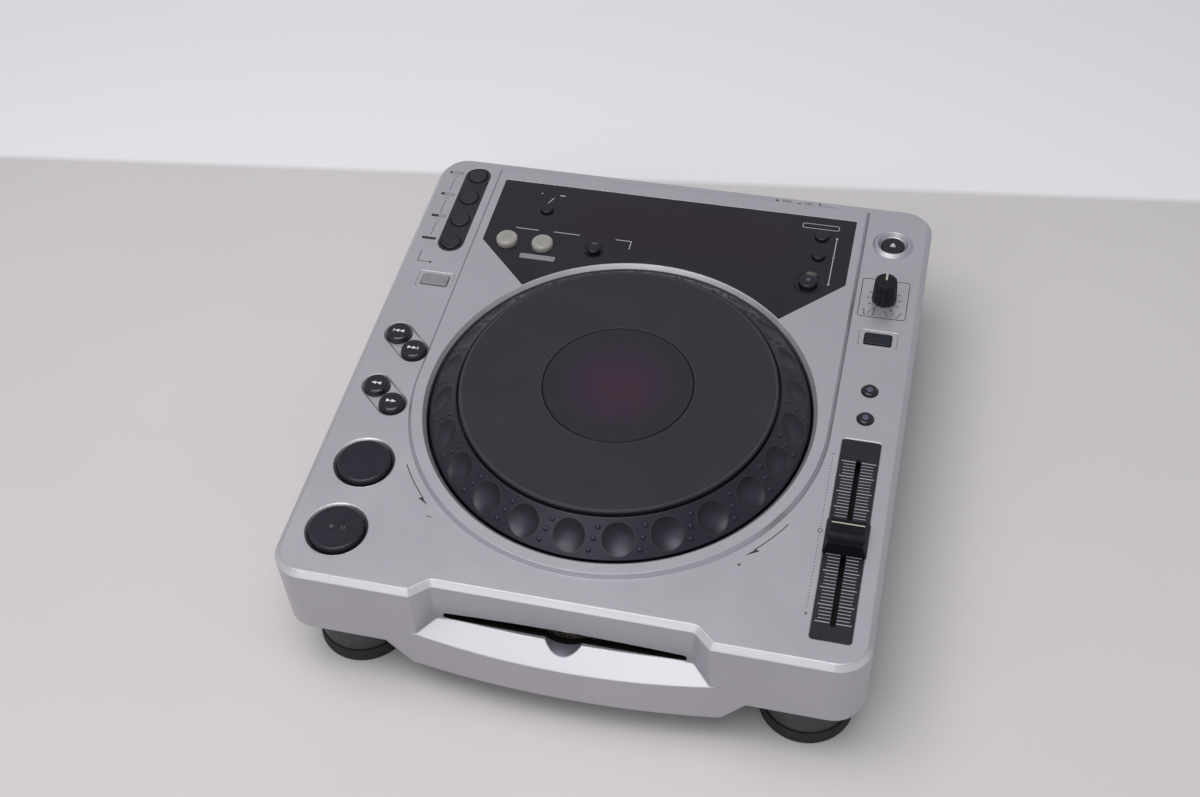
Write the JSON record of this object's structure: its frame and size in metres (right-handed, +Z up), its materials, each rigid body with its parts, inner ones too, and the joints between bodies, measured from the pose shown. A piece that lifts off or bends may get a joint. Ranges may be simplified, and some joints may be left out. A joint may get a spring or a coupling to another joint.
{
  "type": "tabletop disc player",
  "caption": "Tabletop disc player for a DJ with a front slot, a large dimpled jog wheel, a display window, press buttons, a tempo fader and a speed knob.",
  "frame": {"origin": "on the table under the middle of the overall outline", "axes": "+X to the user's right, +Y to the back, +Z up"},
  "size_m": [0.305, 0.3368, 0.1056],
  "materials": {
    "silver_shell": "satin metallic silver",
    "tray_steel": "matt dark grey",
    "panel_black": "matt black",
    "smoked_window": "smoked, hard gloss",
    "display_glass": "dark display glass in a black frame",
    "inlay_dark": "satin dark grey",
    "bezel_silver": "bright satin plating",
    "cap_black": "gloss black",
    "cap_soft_black": "satin black",
    "cap_cream": "translucent cream",
    "cap_blue": "translucent dark blue",
    "dial_dark": "satin dark grey with a fine grain",
    "platter_dark": "satin charcoal with fine rings",
    "frame_black": "matt black",
    "sleeve_white": "natural acetal",
    "board_green": "solder-masked laminate",
    "switch_body": "moulded",
    "drive_steel": "zinc-plated sheet",
    "roller_rubber": "matt",
    "deck_steel": "matt black",
    "bright_steel": "ground steel",
    "hub_plastic": "moulded, satin",
    "fader_can": "plated steel",
    "socket_body": "moulded sockets with plated shells",
    "foot_plastic": "satin dark grey",
    "foot_rubber": "matt",
    "screw_steel": "blackened"
  },
  "bodies": {
    "case": {"top_case": "silver_shell", "base_tray": "tray_steel", "rear_panel": "panel_black", "display_window": "smoked_window", "display_module": "display_glass", "beat_plate": "inlay_dark", "transport_bezels": "bezel_silver", "mode_bezels": "bezel_silver", "eject_ring": "bezel_silver", "fader_plate": "inlay_dark", "fader_body": "fader_can", "speed_pot": "switch_body", "jog_frame": "frame_black", "jog_bearing": "sleeve_white", "jog_window": "smoked_window", "control_boards": "board_green", "tact_switches": "switch_body", "main_board": "board_green", "power_supply": "board_green", "drive_frame": "drive_steel", "audio_sockets": "socket_body", "power_inlet": "socket_body", "feet": "foot_plastic", "foot_pads": "foot_rubber", "case_screws": "screw_steel"},
    "dial": {"jog_dial": "dial_dark"},
    "platter": {"jog_platter": "platter_dark"},
    "fader": {"fader_slider": "fader_can", "fader_cap": "cap_soft_black"},
    "knob": {"speed_knob": "cap_soft_black"},
    "power": {"power_button": "cap_soft_black"},
    "roller": {"loading_roller": "roller_rubber"},
    "traverse": {"traverse_frame": "deck_steel", "spindle_motor": "bright_steel", "guide_rods": "bright_steel"},
    "hub": {"spindle_hub": "hub_plastic"},
    "sled": {"pickup_sled": "hub_plastic"},
    "screw": {"lead_screw": "bright_steel"},
    "beat_1": {"beat_button_1": "cap_soft_black"},
    "beat_2": {"beat_button_2": "cap_soft_black"},
    "beat_3": {"beat_button_3": "cap_soft_black"},
    "beat_4": {"beat_button_4": "cap_soft_black"},
    "track_back": {"track_back_button": "cap_black"},
    "track_next": {"track_next_button": "cap_black"},
    "search_back": {"search_back_button": "cap_black"},
    "search_next": {"search_next_button": "cap_black"},
    "cue": {"cue_button": "cap_black"},
    "play": {"play_button": "cap_black"},
    "eject": {"eject_button": "cap_soft_black"},
    "tempo_range": {"tempo_range_button": "cap_soft_black"},
    "master_tempo": {"master_tempo_button": "cap_soft_black"},
    "loop_in": {"loop_in_button": "cap_cream"},
    "loop_out": {"loop_out_button": "cap_cream"},
    "reloop": {"reloop_button": "cap_soft_black"},
    "time_mode": {"time_mode_button": "cap_soft_black"},
    "memory": {"memory_button": "cap_soft_black"},
    "call": {"call_button": "cap_soft_black"},
    "quick_return": {"quick_return_button": "cap_soft_black"},
    "reverse": {"reverse_button": "cap_cream"},
    "jog_mode": {"jog_mode_button": "cap_blue"}
  },
  "joints": [
    {"name": "beat_1_press", "type": "slide", "parent": "case", "child": "beat_1", "axis": [0, 0, -1], "range_m": [0, 0.0008], "stiffness_N_per_m": 500, "springref_m": -0.001},
    {"name": "beat_2_press", "type": "slide", "parent": "case", "child": "beat_2", "axis": [0, 0, -1], "range_m": [0, 0.0008], "stiffness_N_per_m": 500, "springref_m": -0.001},
    {"name": "beat_3_press", "type": "slide", "parent": "case", "child": "beat_3", "axis": [0, 0, -1], "range_m": [0, 0.0008], "stiffness_N_per_m": 500, "springref_m": -0.001},
    {"name": "beat_4_press", "type": "slide", "parent": "case", "child": "beat_4", "axis": [0, 0, -1], "range_m": [0, 0.0008], "stiffness_N_per_m": 500, "springref_m": -0.001},
    {"name": "track_back_press", "type": "slide", "parent": "case", "child": "track_back", "axis": [0, 0, -1], "range_m": [0, 0.0008], "stiffness_N_per_m": 500, "springref_m": -0.001},
    {"name": "track_next_press", "type": "slide", "parent": "case", "child": "track_next", "axis": [0, 0, -1], "range_m": [0, 0.0008], "stiffness_N_per_m": 500, "springref_m": -0.001},
    {"name": "search_back_press", "type": "slide", "parent": "case", "child": "search_back", "axis": [0, 0, -1], "range_m": [0, 0.0008], "stiffness_N_per_m": 500, "springref_m": -0.001},
    {"name": "search_next_press", "type": "slide", "parent": "case", "child": "search_next", "axis": [0, 0, -1], "range_m": [0, 0.0008], "stiffness_N_per_m": 500, "springref_m": -0.001},
    {"name": "cue_press", "type": "slide", "parent": "case", "child": "cue", "axis": [0, 0, -1], "range_m": [0, 0.0015], "stiffness_N_per_m": 700, "springref_m": -0.001},
    {"name": "play_press", "type": "slide", "parent": "case", "child": "play", "axis": [0, 0, -1], "range_m": [0, 0.0015], "stiffness_N_per_m": 700, "springref_m": -0.001},
    {"name": "eject_press", "type": "slide", "parent": "case", "child": "eject", "axis": [0, 0, -1], "range_m": [0, 0.0008], "stiffness_N_per_m": 500, "springref_m": -0.001},
    {"name": "tempo_range_press", "type": "slide", "parent": "case", "child": "tempo_range", "axis": [0, 0, -1], "range_m": [0, 0.0008], "stiffness_N_per_m": 500, "springref_m": -0.001},
    {"name": "master_tempo_press", "type": "slide", "parent": "case", "child": "master_tempo", "axis": [0, 0, -1], "range_m": [0, 0.0008], "stiffness_N_per_m": 500, "springref_m": -0.001},
    {"name": "loop_in_press", "type": "slide", "parent": "case", "child": "loop_in", "axis": [0, 0, -1], "range_m": [0, 0.0008], "stiffness_N_per_m": 500, "springref_m": -0.001},
    {"name": "loop_out_press", "type": "slide", "parent": "case", "child": "loop_out", "axis": [0, 0, -1], "range_m": [0, 0.0008], "stiffness_N_per_m": 500, "springref_m": -0.001},
    {"name": "reloop_press", "type": "slide", "parent": "case", "child": "reloop", "axis": [0, 0, -1], "range_m": [0, 0.0008], "stiffness_N_per_m": 500, "springref_m": -0.001},
    {"name": "time_mode_press", "type": "slide", "parent": "case", "child": "time_mode", "axis": [0, 0, -1], "range_m": [0, 0.0008], "stiffness_N_per_m": 500, "springref_m": -0.001},
    {"name": "memory_press", "type": "slide", "parent": "case", "child": "memory", "axis": [0, 0, -1], "range_m": [0, 0.0008], "stiffness_N_per_m": 500, "springref_m": -0.001},
    {"name": "call_press", "type": "slide", "parent": "case", "child": "call", "axis": [0, 0, -1], "range_m": [0, 0.0008], "stiffness_N_per_m": 500, "springref_m": -0.001},
    {"name": "quick_return_press", "type": "slide", "parent": "case", "child": "quick_return", "axis": [0, 0, -1], "range_m": [0, 0.0008], "stiffness_N_per_m": 500, "springref_m": -0.001},
    {"name": "reverse_press", "type": "slide", "parent": "case", "child": "reverse", "axis": [0, 0, -1], "range_m": [0, 0.0008], "stiffness_N_per_m": 500, "springref_m": -0.001},
    {"name": "jog_mode_press", "type": "slide", "parent": "case", "child": "jog_mode", "axis": [0, 0, -1], "range_m": [0, 0.0008], "stiffness_N_per_m": 500, "springref_m": -0.001},
    {"name": "dial_spin", "type": "hinge", "parent": "case", "child": "dial", "pos_m": [0, -0.0215, 0.094], "axis": [0, 0, 1], "continuous": true},
    {"name": "platter_touch", "type": "slide", "parent": "dial", "child": "platter", "axis": [0, 0, -1], "range_m": [0, 0.0005], "stiffness_N_per_m": 3000, "springref_m": -0.001},
    {"name": "fader_slide", "type": "slide", "parent": "case", "child": "fader", "axis": [0, 1, 0], "range_m": [-0.05, 0.05]},
    {"name": "knob_turn", "type": "hinge", "parent": "case", "child": "knob", "pos_m": [0.131, 0.0848, 0.095], "axis": [0, 0, 1], "range_deg": [-150, 150]},
    {"name": "power_press", "type": "slide", "parent": "case", "child": "power", "axis": [0, -1, 0], "range_m": [0, 0.003], "stiffness_N_per_m": 400, "springref_m": -0.001},
    {"name": "roller_spin", "type": "hinge", "parent": "case", "child": "roller", "pos_m": [0, -0.14, 0.0538], "axis": [1, 0, 0], "continuous": true},
    {"name": "traverse_lift", "type": "hinge", "parent": "case", "child": "traverse", "pos_m": [0, -0.104, 0.048], "axis": [1, 0, 0], "range_deg": [0, 3]},
    {"name": "hub_spin", "type": "hinge", "parent": "traverse", "child": "hub", "pos_m": [0, -0.027, 0.05], "axis": [0, 0, 1], "continuous": true},
    {"name": "sled_slide", "type": "slide", "parent": "traverse", "child": "sled", "axis": [0, -1, 0], "range_m": [0, 0.03]},
    {"name": "screw_spin", "type": "hinge", "parent": "traverse", "child": "screw", "pos_m": [0.027, -0.07, 0.05], "axis": [0, 1, 0], "continuous": true}
  ],
  "couplings": [
    {"joint": "screw_spin", "follows": "sled_slide", "rad_per_m": 2094.4}
  ]
}
